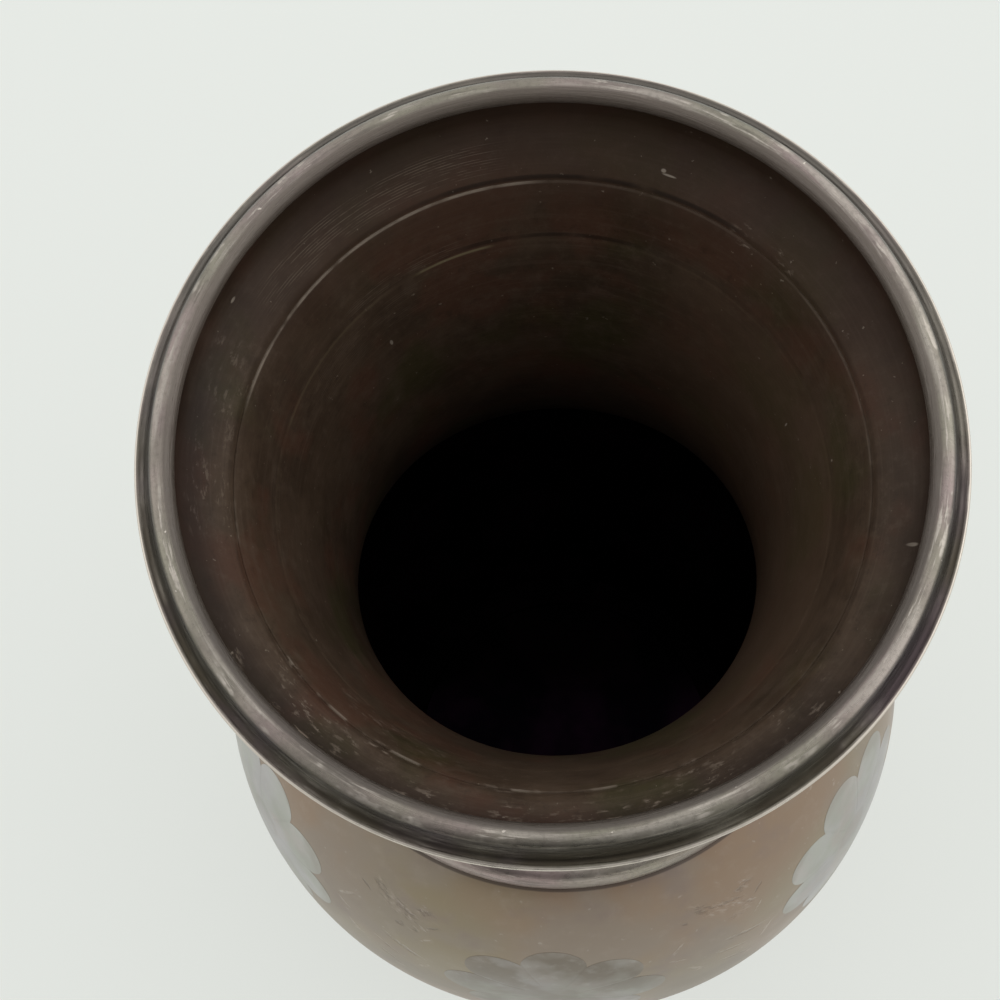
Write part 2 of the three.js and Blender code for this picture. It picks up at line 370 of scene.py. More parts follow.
class Graph:
    """A material's node graph, with short calls for the nodes that it uses."""

    def __init__(self, name):
        self.material = bpy.data.materials.new(name)
        self.material.use_nodes = True
        self.tree = self.material.node_tree
        self.shader = self.tree.nodes["Principled BSDF"]
        self.place = self.tree.nodes.new("ShaderNodeTexCoord").outputs["Object"]
        split = self.tree.nodes.new("ShaderNodeSeparateXYZ")
        self.tree.links.new(self.place, split.inputs[0])
        self.x, self.y, self.z = split.outputs
        across = self.math("MULTIPLY", self.x, self.x)
        self.radius = self.math("SQRT", self.math("ADD", across, self.math("MULTIPLY", self.y, self.y)))
        self.angle = self.math("ARCTAN2", self.y, self.x)

    def link(self, value, socket):
        if isinstance(value, bpy.types.NodeSocket):
            self.tree.links.new(value, socket)
        else:
            socket.default_value = value

    def math(self, operation, a, b=None):
        node = self.tree.nodes.new("ShaderNodeMath")
        node.operation = operation
        self.link(a, node.inputs[0])
        if b is not None:
            self.link(b, node.inputs[1])
        return node.outputs[0]

    def times(self, *values):
        result = values[0]
        for value in values[1:]:
            result = self.math("MULTIPLY", result, value)
        return result

    def plus(self, *values):
        result = values[0]
        for value in values[1:]:
            result = self.math("ADD", result, value)
        return result

    def highest(self, *values):
        result = values[0]
        for value in values[1:]:
            result = self.math("MAXIMUM", result, value)
        return result

    def vector(self, x, y, z):
        node = self.tree.nodes.new("ShaderNodeCombineXYZ")
        for value, socket in zip((x, y, z), node.inputs):
            self.link(value, socket)
        return node.outputs[0]

    def noise(self, vector, scale, detail=3.0, roughness=0.5, distortion=0.0):
        node = self.tree.nodes.new("ShaderNodeTexNoise")
        self.link(vector, node.inputs["Vector"])
        node.inputs["Scale"].default_value = scale
        node.inputs["Detail"].default_value = detail
        node.inputs["Roughness"].default_value = roughness
        node.inputs["Distortion"].default_value = distortion
        return node.outputs["Fac"]

    def ramp(self, value, low, high, out_low=0.0, out_high=1.0):
        node = self.tree.nodes.new("ShaderNodeMapRange")
        node.interpolation_type = "SMOOTHSTEP"
        self.link(value, node.inputs["Value"])
        limits = {"From Min": low, "From Max": high, "To Min": out_low, "To Max": out_high}
        for name, number in limits.items():
            self.link(number, node.inputs[name])
        return node.outputs["Result"]

    def window(self, value, low, high, soft):
        """One between low and high, nought outside, with soft sides."""
        rise = self.ramp(value, low - soft, low)
        fall = self.ramp(value, high, high + soft, 1, 0)
        return self.times(rise, fall)

    def sector(self, middle, half, soft):
        """One within half degrees of a direction round the axis: 0 is right, 90 far and 270 near."""
        facing = self.math("COSINE", self.math("SUBTRACT", self.angle, math.radians(middle)))
        return self.ramp(facing, math.cos(math.radians(half + soft)), math.cos(math.radians(half)))

    def blend(self, share, first, second):
        node = self.tree.nodes.new("ShaderNodeMix")
        node.data_type = "RGBA"
        self.link(share, node.inputs["Factor"])
        for colour, socket in ((first, node.inputs["A"]), (second, node.inputs["B"])):
            self.link(colour if isinstance(colour, bpy.types.NodeSocket) else (*colour, 1), socket)
        return node.outputs["Result"]

    def round_the_axis(self, along, across, slant=0.8):
        """Coordinates that change slowly along a turned circle and fast across it."""
        return self.vector(
            self.times(self.math("COSINE", self.angle), along),
            self.times(self.math("SINE", self.angle), along),
            self.times(self.plus(self.z, self.times(self.radius, slant)), across),
        )

    def ring_noise(self, along, across, detail=2.0, roughness=0.5):
        return self.noise(self.round_the_axis(along, across), 1.0, detail, roughness)

    def bump(self, height, distance, strength=1.0, normal=None):
        node = self.tree.nodes.new("ShaderNodeBump")
        node.inputs["Strength"].default_value = strength
        node.inputs["Distance"].default_value = distance
        self.link(height, node.inputs["Height"])
        if normal is not None:
            self.link(normal, node.inputs["Normal"])
        return node.outputs["Normal"]

    def finish(self, colour, roughness, normal=None, metallic=0.0):
        self.link(colour, self.shader.inputs["Base Color"])
        self.link(roughness, self.shader.inputs["Roughness"])
        self.link(metallic, self.shader.inputs["Metallic"])
        if normal is not None:
            self.link(normal, self.shader.inputs["Normal"])
        return self.material

    def belly_cell(self, turn):
        """Distance along and up the belly in millimetres from the nearest of six places round it."""
        step = 2 * math.pi / FLOWERS
        away = self.math("SUBTRACT", self.angle, math.radians(turn))
        whole = self.math("ROUND", self.math("DIVIDE", away, step))
        cell = self.math("SUBTRACT", away, self.times(whole, step))
        along = self.times(cell, FLOWER_BELLY)
        up = self.times(self.math("SUBTRACT", self.z, FLOWER_HEIGHT * MM), SURFACE_IN_HEIGHT)
        return along, up


def turned_bronze(name, shade, worn, hollow=None, flank=None, lip=None):
    """Dark patinated bronze, brushed round the axis, with broken streaks, scratches and nicks.

    The last three are in millimetres from the axis: a hollow between two radii, which holds grime and
    painted shade, darkest on the near side; a flank inside its radius, which is dull, with painted light
    on the far side; and a lip outside its radius, which is rubbed bright.
    """
    g = Graph(name)
    tint = g.noise(g.place, 42, 3, 0.55)
    cloud = g.noise(g.place, 95, 3, 0.6)
    broad = g.ring_noise(3.0, 1100, 3, 0.55)
    fine = g.ring_noise(9.0, 3600, 3, 0.65)
    grain = g.noise(g.place, 1300, 3, 0.7)
    patch = g.ramp(g.noise(g.place, 120, 3, 0.6), 0.40, 0.60)
    nicks = g.ramp(g.noise(g.place, 620, 2, 0.5), 0.745, 0.78)
    purple = (shade[0] * 1.06, shade[1] * 0.96, shade[2] * 1.04)
    green = (shade[0] * 0.96, shade[1] * 1.01, shade[2] * 0.93)
    base = g.blend(g.ramp(tint, 0.38, 0.62), purple, green)
    clouded = g.blend(g.ramp(cloud, 0.40, 0.66, 0, 0.45), base, tuple(0.62 * c for c in shade))
    streaked = g.blend(g.ramp(broad, 0.48, 0.64, 0, 0.65), clouded, worn)
    darkened = g.blend(g.ramp(broad, 0.32, 0.46, 0.6, 0), streaked, tuple(0.4 * c for c in shade))
    scratches = g.times(g.ramp(fine, 0.54, 0.64), patch, 0.85)
    scratched = g.blend(scratches, darkened, tuple(1.3 * c for c in worn))
    rough = g.blend(g.ramp(grain, 0.46, 0.70, 0, 0.35), scratched, tuple(0.5 * c for c in shade))
    colour = g.blend(nicks, rough, tuple(min(1, 1.6 * c) for c in worn))
    metallic = 0.95
    if hollow:
        inner, outer = hollow
        grime = g.ramp(g.ring_noise(4.0, 900, 3, 0.6), 0.30, 0.56, 0.6, 1)
        inside = g.window(g.radius, inner * MM, outer * MM, 0.6 * MM)
        # Painted shade: the grime in the hollow is made darker on the near side than on the far side.
        shaded_near_grime = g.blend(g.ramp(tint, 0.42, 0.58), (0.056, 0.042, 0.044), (0.052, 0.043, 0.031))
        hollow_grime_and_shade = g.blend(g.ramp(g.y, -0.030, 0.040), shaded_near_grime, (0.125, 0.112, 0.098))
        colour = g.blend(g.times(inside, grime), colour, hollow_grime_and_shade)
    if flank:
        inside = g.ramp(g.radius, (flank - 0.5) * MM, (flank + 0.4) * MM, 1, 0)
        # Painted light: the dull patina of the flank is made lighter on the far side than on the near
        # side.
        dull_and_far_lit = g.blend(g.ramp(g.y, -0.030, 0.030), (0.068, 0.053, 0.043), (0.135, 0.108, 0.088))
        colour = g.blend(g.times(inside, 0.9), colour, dull_and_far_lit)
        metallic = g.math("SUBTRACT", metallic, g.times(inside, 0.65))
    if lip:
        rubbed = g.ramp(g.radius, (lip - 0.1) * MM, (lip + 0.05) * MM)
        colour = g.blend(g.times(rubbed, 0.9), colour, tuple(min(1, 1.7 * c) for c in worn))
    roughness = g.ramp(fine, 0.3, 0.7, 0.22, 0.42)
    normal = g.bump(g.plus(fine, g.times(broad, 0.8)), 0.00012, 0.7)
    normal = g.bump(g.plus(nicks, g.times(grain, 0.35)), 0.00014, 0.6, normal)
    return g.finish(colour, roughness, normal, metallic)


# Marks on the neck's inside: degrees round the axis, height, half length in degrees and half width
INNER_MARKS = (
    (66.0, 256.2, 1.4, 0.12),
    (67.2, 256.5, 0.5, 0.22),
    (129.2, 231.2, 0.45, 0.7),
    (18.2, 232.7, 0.25, 0.6),
    (3.9, 243.2, 0.3, 0.3),
    (343.7, 259.1, 0.35, 0.9),
    (148.8, 259.8, 0.7, 0.2),
    (249.0, 246.5, 0.6, 0.2),
)


def over(ring, rise):
    """Height in metres, rise millimetres over one of the neck's two rings."""
    return (ring[1] + rise) * MM


def band(g, ring, low, high, soft):
    """One between low and high millimetres over one of the neck's two rings, with soft sides."""
    return g.window(g.z, over(ring, low), over(ring, high), soft * MM)


def inner_patina(name):
    """Matt brown inside of the neck: blotches, turned rings with painted highlights and painted shadow
    lines on their edges, broken turning lines, scuffs and nicks.
    """
    g = Graph(name)
    colour = clouded_brown(g)
    lines = turning_lines(g)
    scuffs = scuff_strokes(g)
    # Painted highlight: a bright line on the ledge's edge, strongest on the far left and broken elsewhere.
    ledge = edge_line(g, LEDGE[0] - 0.2, LEDGE[1], 0.22)
    far_left = g.times(g.sector(126, 30, 10), 0.62)
    far_right = g.times(g.sector(68, 16, 10), 0.08)
    right = g.times(g.sector(14, 20, 8), 0.13)
    patches = g.ramp(g.noise(g.place, 130, 3, 0.6), 0.54, 0.62, 0, 0.45)
    near_side = g.times(g.sector(234, 44, 12), patches)
    ledge_lit_sectors = g.highest(far_left, far_right, right, near_side)
    broken = g.ramp(g.noise(g.place, 110, 3, 0.6), 0.36, 0.56, 0.15, 1)
    # Painted highlight: a bright line on the groove's edge, mostly in a narrow far sector.
    groove = edge_line(g, GROOVE[0] - 0.2, GROOVE[1], 0.14)
    lit = g.highest(g.times(g.sector(109, 6, 4), 0.65), g.times(g.sector(138, 22, 8), 0.12), 0.03)
    shadow = edge_line(g, LEDGE[0] + 0.4, LEDGE[1] + 0.4, 0.26)
    shadow = g.times(shadow, g.plus(g.times(g.sector(82, 24, 12), 0.45), 0.2), broken)
    # Painted shadow: a dark line just above the groove, as above the ledge.
    groove_shadow = edge_line(g, GROOVE[0] + 0.35, GROOVE[1] + 0.8, 0.3)
    groove_shadow = g.times(groove_shadow, g.plus(g.times(g.sector(88, 14, 9), 0.45), 0.1), broken)
    colour = g.blend(g.highest(shadow, groove_shadow), colour, (0.012, 0.008, 0.006))
    colour = g.blend(g.times(lines, 0.5), colour, (0.19, 0.150, 0.113))
    colour = g.blend(g.times(scuffs, 0.7), colour, (0.20, 0.155, 0.120))
    colour = g.blend(g.times(ledge, g.plus(g.times(ledge_lit_sectors, broken), 0.02)), colour, (0.33, 0.27, 0.215))
    colour = g.blend(g.times(groove, lit, broken), colour, (0.21, 0.175, 0.10))
    specks = g.ramp(g.noise(g.place, 900, 2, 0.6), 0.72, 0.76, 0, 0.5)
    nicks = g.highest(g.times(inner_marks(g), broken), specks)
    colour = g.blend(g.times(nicks, 0.8), colour, (0.30, 0.25, 0.20))
    roughness = g.ramp(g.noise(g.place, 50, 3, 0.5), 0.3, 0.7, 0.5, 0.62)
    normal = g.bump(g.plus(g.times(lines, 0.8), g.times(scuffs, 0.5)), 0.00008, 0.6)
    normal = g.bump(g.noise(g.place, 300, 4, 0.7), 0.00016, 0.6, normal)
    g.shader.inputs["Specular IOR Level"].default_value = 0.2
    return g.finish(colour, roughness, normal, 0.08)


def clouded_brown(g):
    """Brown with red and olive blotches and a fine grain, with painted shade darkening it towards the rim
    band.
    """
    cloud = g.noise(g.place, 46, 4, 0.65)
    dark = g.noise(g.vector(g.x, g.y, g.plus(g.z, 7)), 33, 3, 0.6)
    red = g.noise(g.vector(g.plus(g.x, 2), g.y, g.z), 62, 3, 0.55)
    olive = g.noise(g.vector(g.x, g.plus(g.y, 4), g.z), 40, 3, 0.55)
    mottle = g.noise(g.place, 170, 4, 0.65)
    grain = g.noise(g.place, 480, 4, 0.75)
    faint = g.ramp(g.ring_noise(2.6, 1700, 4, 0.6), 0.46, 0.70)
    base = g.blend(g.ramp(cloud, 0.35, 0.66), (0.043, 0.0262, 0.0158), (0.068, 0.0430, 0.0270))
    base = g.blend(g.ramp(red, 0.48, 0.62, 0, 0.75), base, (0.072, 0.033, 0.0200))
    base = g.blend(g.ramp(olive, 0.50, 0.64, 0, 0.75), base, (0.043, 0.036, 0.0140))
    base = g.blend(g.ramp(dark, 0.52, 0.66, 0, 0.5), base, (0.026, 0.0170, 0.0100))
    base = g.blend(g.ramp(mottle, 0.5, 0.72, 0, 0.4), base, (0.092, 0.063, 0.044))
    base = g.blend(g.ramp(grain, 0.5, 0.72, 0, 0.3), base, (0.110, 0.078, 0.056))
    base = g.blend(g.ramp(grain, 0.32, 0.46, 0.35, 0), base, (0.022, 0.0135, 0.0085))
    base = g.blend(g.times(faint, 0.22), base, (0.105, 0.073, 0.052))
    low_right = g.times(g.sector(0, 40, 30), g.ramp(g.z, over(GROOVE, -6), over(GROOVE, 8), 0.4, 0))
    base = g.blend(low_right, base, (0.100, 0.060, 0.037))
    high_far = g.times(g.sector(80, 50, 40), g.ramp(g.z, over(LEDGE, -7.5), over(LEDGE, -0.5), 0, 0.55))
    base = g.blend(high_far, base, (0.046, 0.0235, 0.0140))
    # Painted shade under the rim band's overhang, heaviest on the near side of the wall.
    shade_under_rim = g.ramp(g.z, over(LEDGE, 0.5), over(LEDGE, 6.5), 0, 0.28)
    base = g.blend(shade_under_rim, base, (0.016, 0.0085, 0.0060))
    rim_shade_by_side = g.ramp(g.y, -0.030, 0.030, 0.85, 0.15)
    around = g.times(g.ramp(g.z, over(LEDGE, 3.7), over(LEDGE, 8.7)), rim_shade_by_side)
    near = g.times(g.ramp(g.z, over(LEDGE, 2.1), over(LEDGE, 5.3)), g.sector(238, 66, 26), 0.6)
    return g.blend(g.highest(around, near), base, (0.016, 0.0090, 0.0065))


def turning_lines(g):
    """Fine lines that the lathe left above the ledge and near the groove, on the far left."""
    pitch = 0.00056
    slant = g.plus(g.z, g.times(g.radius, 0.9), g.times(g.noise(g.place, 30, 2, 0.5), 0.0004))
    wave = g.ramp(g.math("SINE", g.times(slant, 2 * math.pi / pitch)), 0.10, 1.0)
    uneven = g.ramp(g.ring_noise(10.0, 1500, 3, 0.65), 0.42, 0.60)
    upper = g.times(g.sector(121, 15, 13), band(g, LEDGE, 2.1, 4.3, 0.8))
    lower = g.times(g.sector(121, 10, 6), band(g, GROOVE, 0.8, 2.6, 0.6), 0.8)
    deep = g.times(g.sector(134, 14, 8), band(g, GROOVE, -7.5, -2, 1), 0.3)
    return g.times(wave, uneven, g.highest(upper, lower, deep))


def scuff_strokes(g):
    """Short pale strokes along the turning where stems and hands rub: near side, left and right."""
    strokes = g.ramp(g.noise(g.round_the_axis(20, 800), 1.0, 4, 0.7, 0.15), 0.53, 0.66)
    worn = g.ramp(g.noise(g.place, 120, 3, 0.65), 0.44, 0.58, 0.1, 1)
    near = g.times(g.sector(262, 46, 16), band(g, LEDGE, 0, 5.3, 1))
    low = g.times(g.sector(246, 20, 10), band(g, GROOVE, 2, 8, 1.5), 0.7)
    left = g.times(g.sector(170, 12, 10), band(g, LEDGE, 1, 5, 1.4), 0.5)
    right = g.times(g.sector(44, 5, 4), band(g, LEDGE, -0.5, 1.5, 0.8))
    return g.times(strokes, worn, g.highest(near, low, left, right))


def inner_marks(g):
    """One on the few single nicks."""
    marks = []
    for turn, height, length, width in INNER_MARKS:
        away = g.math("SUBTRACT", g.angle, math.radians(turn if turn < 180 else turn - 360))
        along = g.times(away, 1 / math.radians(length))
        up = g.times(g.math("SUBTRACT", g.z, height * MM), 1 / (width * MM))
        marks.append(g.ramp(g.plus(g.times(along, along), g.times(up, up)), 0.3, 1.2, 1, 0))
    return g.highest(*marks)


def edge_line(g, radius, height, half):
    """One on a turned ring's edge at a radius and height in millimetres."""
    out = g.math("ABSOLUTE", g.math("SUBTRACT", g.radius, radius * MM))
    level = g.math("ABSOLUTE", g.math("SUBTRACT", g.z, height * MM))
    near = g.ramp(out, half * 0.6 * MM, half * 1.3 * MM, 1, 0)
    return g.times(near, g.ramp(level, 0.3 * MM, 0.6 * MM, 1, 0))


def black_inside(name):
    """Black inside of the body; the base plate is brown below, and above it has a painted pool of light in
    dull purple that fades to black towards the far side.
    """
    g = Graph(name)
    cloud = g.noise(g.place, 60, 3, 0.55)
    wall = g.blend(g.ramp(cloud, 0.44, 0.60), (0.0030, 0.0022, 0.0030), (0.0120, 0.0060, 0.0090))
    # Painted pool of light: the plate's top is dull purple where light falls through the mouth.
    purple = g.blend(g.ramp(cloud, 0.36, 0.62), (0.018, 0.012, 0.026), (0.080, 0.028, 0.074))
    plate = g.blend(g.ramp(g.y, 0.004, 0.022, 1, 0), wall, purple)
    underside = g.blend(g.ramp(cloud, 0.36, 0.62), (0.060, 0.046, 0.037), (0.095, 0.072, 0.056))
    above = g.ramp(g.z, (PLATE_TOP + 0.1) * MM, (PLATE_TOP + 0.3) * MM)
    below = g.ramp(g.z, (PLATE_TOP - 0.5) * MM, (PLATE_TOP - 0.3) * MM, 1, 0)
    colour = g.blend(below, g.blend(above, plate, wall), underside)
    g.shader.inputs["Specular IOR Level"].default_value = 0.05
    normal = g.bump(g.noise(g.place, 200, 3, 0.6), 0.00010, 0.4)
    return g.finish(colour, g.ramp(cloud, 0.3, 0.7, 0.7, 0.85), normal)


# Strokes of the engraved spray between two flowers: middle along and up the belly, half length, half
# width and lean in degrees
PALE_STROKES = (
    (4.6, 6.8, 5.4, 0.40, -25),
    (0.7, 1.8, 3.9, 0.36, -29),
    (1.2, -5.4, 4.0, 0.34, -36),
    (-7.0, 0.0, 3.0, 0.50, -50),
    (2.7, 23.3, 3.4, 0.30, -16),
    (5.0, 20.6, 1.8, 0.26, -42),
    (7.9, 19.1, 1.4, 0.28, -32),
    (7.4, 26.3, 1.2, 0.30, -23),
    (9.0, 14.7, 1.8, 0.30, 51),
    (-10.5, 8.8, 2.2, 0.40, -28),
    (-10.6, 13.8, 2.8, 0.45, 53),
    (9.0, -0.8, 3.2, 0.45, 59),
    (-5.9, -1.7, 1.3, 0.55, 10),
    (3.9, -10.0, 1.1, 0.80, 0),
)
DARK_STROKES = (
    (2.7, 16.9, 1.1, 1.00, 0),
    (4.2, 5.9, 4.6, 0.34, -25),
    (0.9, 0.9, 3.2, 0.30, -29),
    (1.4, -6.3, 3.4, 0.30, -36),
    (3.0, 22.6, 3.2, 0.30, -16),
    (-3.7, 25.0, 2.2, 0.75, -34),
    (-7.1, 22.7, 1.6, 0.35, -27),
    (7.2, 24.6, 2.4, 0.75, 3),
    (10.3, 20.9, 1.6, 0.32, 31),
)
# Leaves of the spray that are filled with short cuts
LEAVES = (
    (1.5, 22.4, 6.0, 2.3, -20),
    (-3.6, 25.6, 3.0, 1.4, -34),
    (7.6, 24.6, 2.6, 1.4, 10),
    (6.5, 17.8, 2.6, 1.3, 40),
)
CUTS_LEAN = -25


def strokes(g, along, up, marks):
    """One on the strokes at places along and up the belly in millimetres."""
    parts = []
    for middle, height, length, width, lean in marks:
        a = math.radians(lean)
        x = g.math("SUBTRACT", along, middle)
        y = g.math("SUBTRACT", up, height)
        lengthwise = g.times(g.plus(g.times(x, math.cos(a)), g.times(y, math.sin(a))), 1 / length)
        across = g.times(g.math("SUBTRACT", g.times(y, math.cos(a)), g.times(x, math.sin(a))), 1 / width)
        parts.append(g.plus(g.times(lengthwise, lengthwise), g.times(across, across)))
    nearest = parts[0]
    for part in parts[1:]:
        nearest = g.math("MINIMUM", nearest, part)
    return g.ramp(nearest, 0.2, 1.5, 1, 0)


def cut_noise(g, along, up):
    """Noise drawn out into strokes of about two millimetres."""
    lean = math.radians(CUTS_LEAN)
    lengthwise = g.plus(g.times(along, math.cos(lean)), g.times(up, math.sin(lean)))
    across = g.math("SUBTRACT", g.times(up, math.cos(lean)), g.times(along, math.sin(lean)))
    drawn_out = g.vector(g.times(lengthwise, 0.5), g.times(across, 1.6), g.times(g.angle, 3))
    return g.noise(drawn_out, 1.0, 3, 0.6)


def body_patina(name):
    """Satin brown bronze with soft blotches, worn sprays engraved between the flowers, and painted shade
    with some dirt in the groove under the collar.
    """
    g = Graph(name)
    broad = g.noise(g.place, 21, 2, 0.5)
    cloud = g.noise(g.vector(g.plus(g.x, 3), g.y, g.z), 38, 3, 0.55)
    violet = g.noise(g.vector(g.x, g.y, g.plus(g.z, 5)), 70, 3, 0.6)
    fine = g.noise(g.place, 260, 4, 0.65)
    specks = g.ramp(g.noise(g.place, 540, 2, 0.5), 0.70, 0.76)
    olive, russet, mauve = (0.268, 0.211, 0.134), (0.288, 0.200, 0.138), (0.284, 0.234, 0.190)
    base = g.blend(g.ramp(broad, 0.40, 0.58), olive, russet)
    greyed = g.blend(g.ramp(cloud, 0.42, 0.62, 0, 0.7), base, mauve)
    stained = g.blend(g.ramp(violet, 0.52, 0.70, 0, 0.5), greyed, (0.235, 0.175, 0.155))
    worn = g.blend(g.ramp(fine, 0.5, 0.8, 0, 0.22), stained, (0.42, 0.34, 0.28))
    along, up = g.belly_cell(FLOWER_TURN + 180 / FLOWERS)
    shake = g.noise(g.place, 420, 3, 0.6)
    up = g.plus(up, g.times(g.math("SUBTRACT", shake, 0.5), 1.6))
    patchy = g.ramp(g.noise(g.place, 520, 3, 0.65), 0.40, 0.56, 0.1, 1)
    pale = g.times(strokes(g, along, up, PALE_STROKES), patchy)
    dark = g.times(strokes(g, along, up, DARK_STROKES), patchy)
    leaves = strokes(g, along, up, LEAVES)
    cuts = cut_noise(g, along, up)
    hatch = g.times(g.ramp(cuts, 0.54, 0.62), leaves)
    chips = g.times(g.ramp(cuts, 0.38, 0.46, 1, 0), leaves)
    shaded = g.blend(g.times(g.highest(dark, g.times(hatch, 0.9)), 0.42), worn, (0.120, 0.085, 0.062))
    lined = g.blend(g.times(g.highest(pale, g.times(chips, 0.7)), 0.45), shaded, (0.50, 0.42, 0.36))
    colour = g.blend(g.times(specks, 0.3), lined, (0.52, 0.46, 0.40))
    # Painted shade with some dirt: a dark ring in the groove where the body meets the collar.
    joint = g.times(
        g.ramp(g.radius, (SHOULDER[0] - 0.48) * MM, (SHOULDER[0] - 0.2) * MM, 1, 0),
        g.window(g.z, (BODY_TOP - 1.1) * MM, (BODY_TOP + 0.1) * MM, 0.4 * MM),
    )
    colour = g.blend(g.times(joint, 0.8), colour, (0.075, 0.054, 0.046))
    roughness = g.ramp(cloud, 0.3, 0.7, 0.30, 0.42)
    relief = g.plus(pale, g.times(dark, -1.0), g.times(hatch, -0.5), g.times(fine, 0.2))
    normal = g.bump(relief, 0.00014, 0.5)
    return g.finish(colour, roughness, normal, 0.5)


def flower_silver(name):
    """Satin silver inlay, clouded with brown-grey tarnishing and darker still on the front flower's upper
    petals, with painted shade along the partings between petals.
    """
    g = Graph(name)
    along, up = g.belly_cell(FLOWER_TURN)
    reach = g.math("SQRT", g.plus(g.times(along, along), g.times(up, up)))
    around = g.times(g.math("ARCTAN2", up, along), PETALS / (2 * math.pi))
    nearest = g.math("ABSOLUTE", g.math("SUBTRACT", g.math("FRACT", around), 0.5))
    parting = g.times(g.ramp(g.times(nearest, reach), 0.0, 0.7, 1, 0), g.ramp(reach, 5, 8))
    heart = g.ramp(reach, 4.6, 5.4, 1, 0)
    cloud = g.noise(g.place, 55, 3, 0.55)
    violet = g.noise(g.vector(g.x, g.plus(g.y, 6), g.z), 80, 3, 0.6)
    fine = g.noise(g.place, 330, 3, 0.6)
    lavender, sage, pink = (0.440, 0.418, 0.420), (0.425, 0.428, 0.380), (0.470, 0.412, 0.390)
    base = g.blend(g.ramp(cloud, 0.40, 0.60), lavender, sage)
    base = g.blend(g.ramp(violet, 0.50, 0.66, 0, 0.6), base, pink)
    paler = g.blend(g.ramp(reach, 9, 22, 0, 0.35), base, (0.56, 0.54, 0.52))
    centred = g.blend(g.times(heart, 0.2), paler, (0.24, 0.22, 0.19))
    # Painted shade along the partings between petals.
    parting_shaded = g.blend(g.times(parting, 0.10), centred, (0.20, 0.18, 0.17))
    uneven = g.ramp(g.noise(g.vector(g.plus(g.x, 8), g.y, g.z), 75, 3, 0.6), 0.36, 0.62)
    # Cloudy tarnish everywhere, and darker again on the front flower's upper petals.
    front = g.sector(FLOWER_TURN, 24, 16)
    top = g.times(front, g.ramp(up, -2, 14, 0.55, 0.95))
    tarnish_and_front_darkening = g.plus(g.times(top, g.plus(g.times(uneven, 0.25), 0.7)), g.times(uneven, 0.18))
    tarnished_and_front_darkened = g.blend(tarnish_and_front_darkening, parting_shaded, (0.205, 0.170, 0.135))
    rim = g.ramp(g.plus(reach, g.times(uneven, 2.0)), 20.0, 23.0, 0, 0.3)
    edged = g.blend(rim, tarnished_and_front_darkened, (0.300, 0.250, 0.205))
    colour = g.blend(g.ramp(fine, 0.5, 0.8, 0, 0.2), edged, (0.56, 0.54, 0.52))
    roughness = g.ramp(cloud, 0.3, 0.7, 0.32, 0.44)
    normal = g.bump(g.math("SUBTRACT", g.times(fine, 0.3), g.times(parting, 0.6)), 0.00010, 0.5)
    return g.finish(colour, roughness, normal, 0.75)


def solder_metal(name, shade):
    """Unpolished solder of the hidden joints."""
    g = Graph(name)
    grain = g.noise(g.place, 420, 4, 0.6)
    rings = g.ring_noise(1.4, 1500, 2)
    dark = tuple(0.55 * c for c in shade)
    colour = g.blend(g.ramp(grain, 0.35, 0.7), dark, shade)
    roughness = g.ramp(grain, 0.3, 0.7, 0.5, 0.7)
    normal = g.bump(g.plus(g.times(grain, 0.5), rings), 0.00010, 0.5)
    return g.finish(colour, roughness, normal, 0.8)


def floor_surface(name):
    """Plain pale floor: part of its tone is even, as in a bright backdrop; the rest shows the shadow."""
    g = Graph(name)
    cloud = g.noise(g.place, 1.5, 2, 0.5)
    colour = g.blend(g.ramp(cloud, 0.3, 0.7), (0.865, 0.890, 0.855), (0.880, 0.900, 0.870))
    g.finish(colour, 0.9)
    even = g.tree.nodes.new("ShaderNodeEmission")
    even.inputs["Color"].default_value = (*BACKDROP_TONE, 1)
    light = g.tree.nodes.new("ShaderNodeLightPath").outputs
    seen = g.highest(light["Is Camera Ray"], light["Is Glossy Ray"], light["Is Transmission Ray"])
    mix = g.tree.nodes.new("ShaderNodeMixShader")
    g.link(g.times(seen, BACKDROP_SHARE), mix.inputs["Fac"])
    g.link(g.shader.outputs["BSDF"], mix.inputs[1])
    g.link(even.outputs["Emission"], mix.inputs[2])
    g.link(mix.outputs["Shader"], g.tree.nodes["Material Output"].inputs["Surface"])
    return g.material


def dress(piece, node, slot, *materials):
    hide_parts(node)
    for material in materials:
        piece.data.materials.append(material)


def dress_inside(piece):
    """Gives the second material to the faces that look towards the axis or up from the neck's rings."""
    for polygon in piece.data.polygons:
        centre = polygon.center
        towards_axis = centre.x * polygon.normal.x + centre.y * polygon.normal.y < -1e-6
        on_a_ring = polygon.normal.z > 0.5 and (GROOVE[1] - 1) * MM < centre.z < (LEDGE[1] + 1) * MM
        if towards_axis or on_a_ring:
            polygon.material_index = 1


def dress_node(name, material):
    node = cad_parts[name]
    if not node.data.materials:
        node.data.materials.append(material)
    for slot in node.material_slots:
        slot.material = material


# The vase

rim_bronze = turned_bronze(
    "rim_bronze", (0.272, 0.238, 0.208), (0.41, 0.368, 0.325), hollow=(57.9, 59.7), flank=55.8, lip=60.2
)
collar_bronze = turned_bronze("collar_bronze", (0.350, 0.298, 0.262), (0.42, 0.368, 0.33))
inside_bronze = inner_patina("neck_bronze")
outside_bronze = body_patina("body_bronze")
deep_bronze = black_inside("deep_bronze")
foot_bronze = turned_bronze("foot_bronze", (0.235, 0.190, 0.158), (0.32, 0.275, 0.235))
silver = flower_silver("flower_silver")
solder = solder_metal("solder", (0.30, 0.30, 0.29))

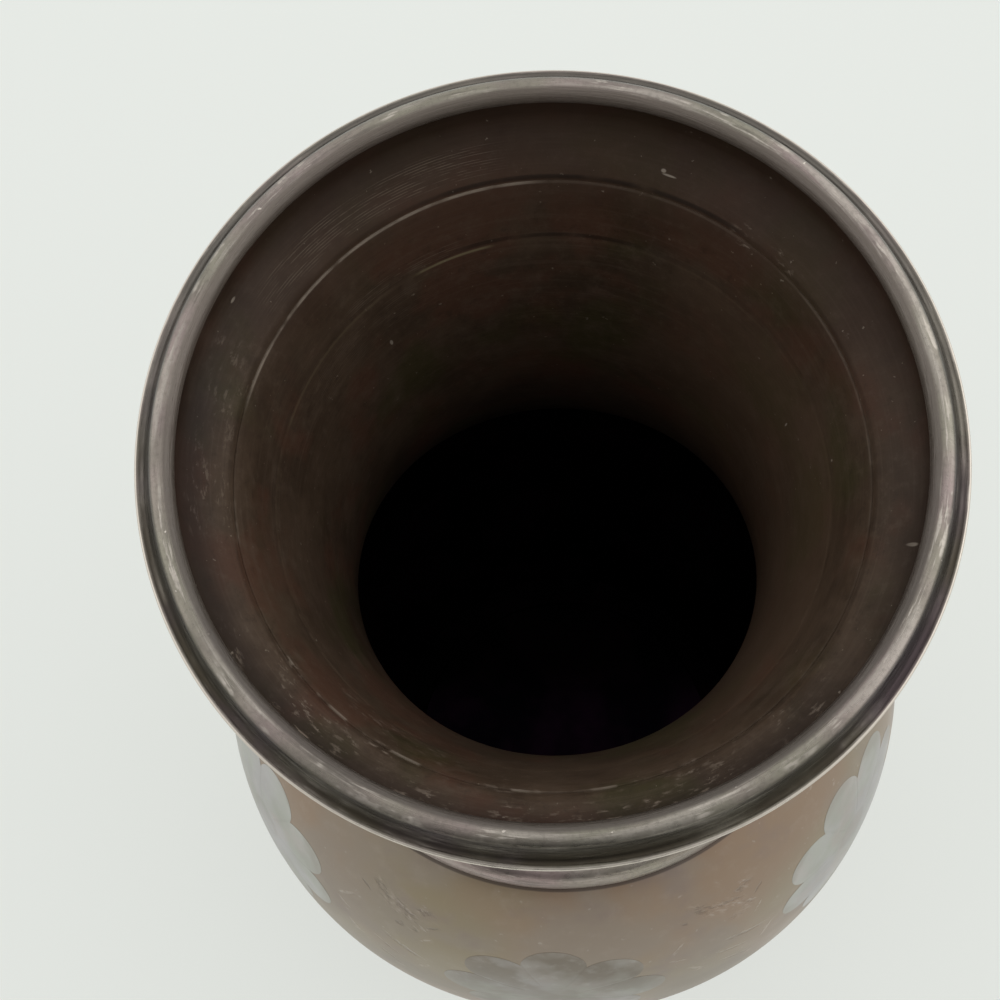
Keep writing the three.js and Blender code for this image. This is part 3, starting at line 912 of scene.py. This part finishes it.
dress(turned("rim", rim_outline()), "rim_band", "rim_bronze", rim_bronze)
neck = turned("neck", neck_outline())
dress(neck, "neck_section", "neck_bronze", outside_bronze, inside_bronze)
dress_inside(neck)
dress(turned("collar", collar_outline()), "collar_ring", "collar_bronze", collar_bronze)
body = turned("body", body_outline())
dress(body, "body_section", "body_bronze", outside_bronze, deep_bronze)
dress_inside(body)
dress(turned("plate", plate_outline()), "base_plate", "base_bronze", deep_bronze)
dress(turned("foot", foot_outline()), "foot_ring", "base_bronze", foot_bronze)
for number in range(FLOWERS):
    petals = flower(f"flower_{number + 1}", FLOWER_TURN + number * 360 / FLOWERS)
    dress(petals, f"silver_flower_{number + 1}", "flower_silver", silver)
for joint in ("rim_solder", "neck_joint_solder", "foot_joint_solder"):
    dress_node(joint, solder)


# Surroundings


def add_floor():
    mesh = bpy.data.meshes.new("floor")
    signs = ((-1, -1), (1, -1), (1, 1), (-1, 1))
    corners = [(x * FLOOR_HALF, y * FLOOR_HALF, FLOOR_LEVEL) for x, y in signs]
    mesh.from_pydata(corners, [], [(0, 1, 2, 3)])
    floor = bpy.data.objects.new("floor", mesh)
    bpy.context.scene.collection.objects.link(floor)
    mesh.materials.append(floor_surface("floor"))


def add_sky(level, up, far, right, sides):
    """A soft room light in plain terms of the direction; sides is the large soft light on both sides."""
    world = bpy.data.worlds.new("studio")
    world.use_nodes = True
    tree = world.node_tree
    direction = tree.nodes.new("ShaderNodeTexCoord").outputs["Generated"]
    split = tree.nodes.new("ShaderNodeSeparateXYZ")
    tree.links.new(direction, split.inputs[0])
    x, y, z = split.outputs

    def math_node(operation, a, b):
        node = tree.nodes.new("ShaderNodeMath")
        node.operation = operation
        for value, socket in zip((a, b), node.inputs):
            if isinstance(value, bpy.types.NodeSocket):
                tree.links.new(value, socket)
            else:
                socket.default_value = value
        return node.outputs[0]

    total = level
    for part, amount in ((z, up), (y, far), (x, right), (math_node("MULTIPLY", x, x), sides)):
        total = math_node("ADD", math_node("MULTIPLY", part, amount), total)
    background = tree.nodes["Background"]
    background.inputs["Color"].default_value = (0.97, 0.985, 0.98, 1)
    tree.links.new(math_node("MAXIMUM", total, 0.03), background.inputs["Strength"])
    bpy.context.scene.world = world


def add_camera():
    data = bpy.data.cameras.new("camera")
    data.sensor_fit = "HORIZONTAL"
    data.sensor_width = SENSOR
    data.lens = FOCAL_PIXELS / PHOTO_WIDTH * SENSOR
    data.clip_start = 0.01
    camera = bpy.data.objects.new("camera", data)
    camera.location = (0, -CAMERA_BACK, LIP * MM + CAMERA_ABOVE_LIP)
    camera.rotation_euler = [math.radians(a) for a in CAMERA_ANGLES]
    bpy.context.scene.collection.objects.link(camera)
    bpy.context.scene.camera = camera


add_floor()
add_sky(level=0.49, up=0.39, far=0.40, right=0.20, sides=0.90)
add_camera()
bpy.context.scene.view_settings.view_transform = "Standard"
